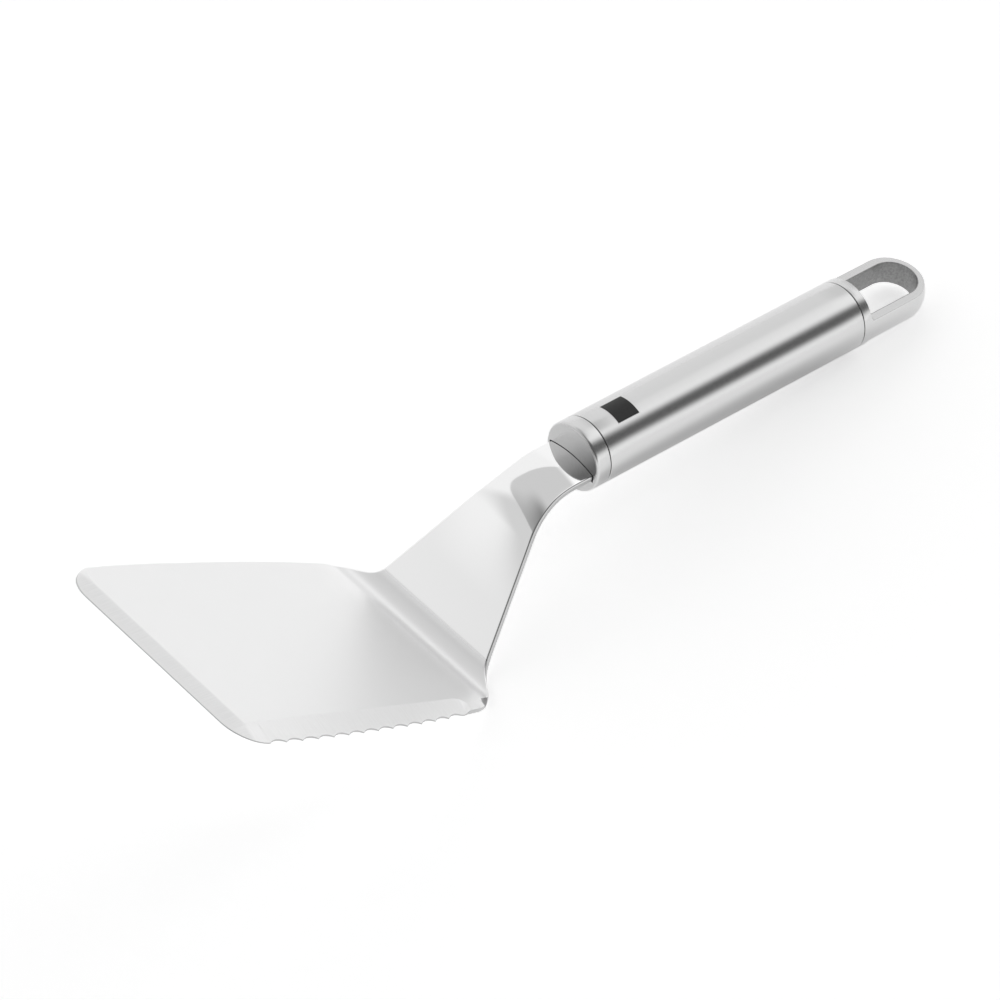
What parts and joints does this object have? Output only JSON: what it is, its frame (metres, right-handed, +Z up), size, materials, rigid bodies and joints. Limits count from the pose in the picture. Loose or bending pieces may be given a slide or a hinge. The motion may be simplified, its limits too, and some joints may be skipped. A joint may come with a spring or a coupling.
{
  "type": "lasagna server",
  "caption": "Stainless lasagna server: a cranked broad blade with a ground front edge and one scalloped side, on a hollow round handle with a hanging loop.",
  "frame": {"origin": "centre of the bounding box's underside, with the server lying as on a table on the round of its heel and on the lower rim of the collar before its loop", "axes": "+X from the blade's front edge towards the hanging loop, +Y towards the plain edge of the blade, +Z up; the scalloped edge faces -Y"},
  "size_m": [0.2964, 0.08, 0.0713],
  "materials": {
    "polished_sheet": "stainless sheet polished to a mirror, with a finely ground front bevel and scalloped edge",
    "satin_cap": "satin stainless steel",
    "satin_tube": "stainless tube with a fine satin brushing",
    "cast_loop": "satin stainless steel, rougher and greyer inside the loop's opening",
    "black_plate": "smooth black enamel with a thin bright rim, left bare"
  },
  "bodies": {
    "root": {"blade": "polished_sheet", "front_cap": "satin_cap", "handle_tube": "satin_tube", "loop_cap": "cast_loop"}
  },
  "joints": []
}
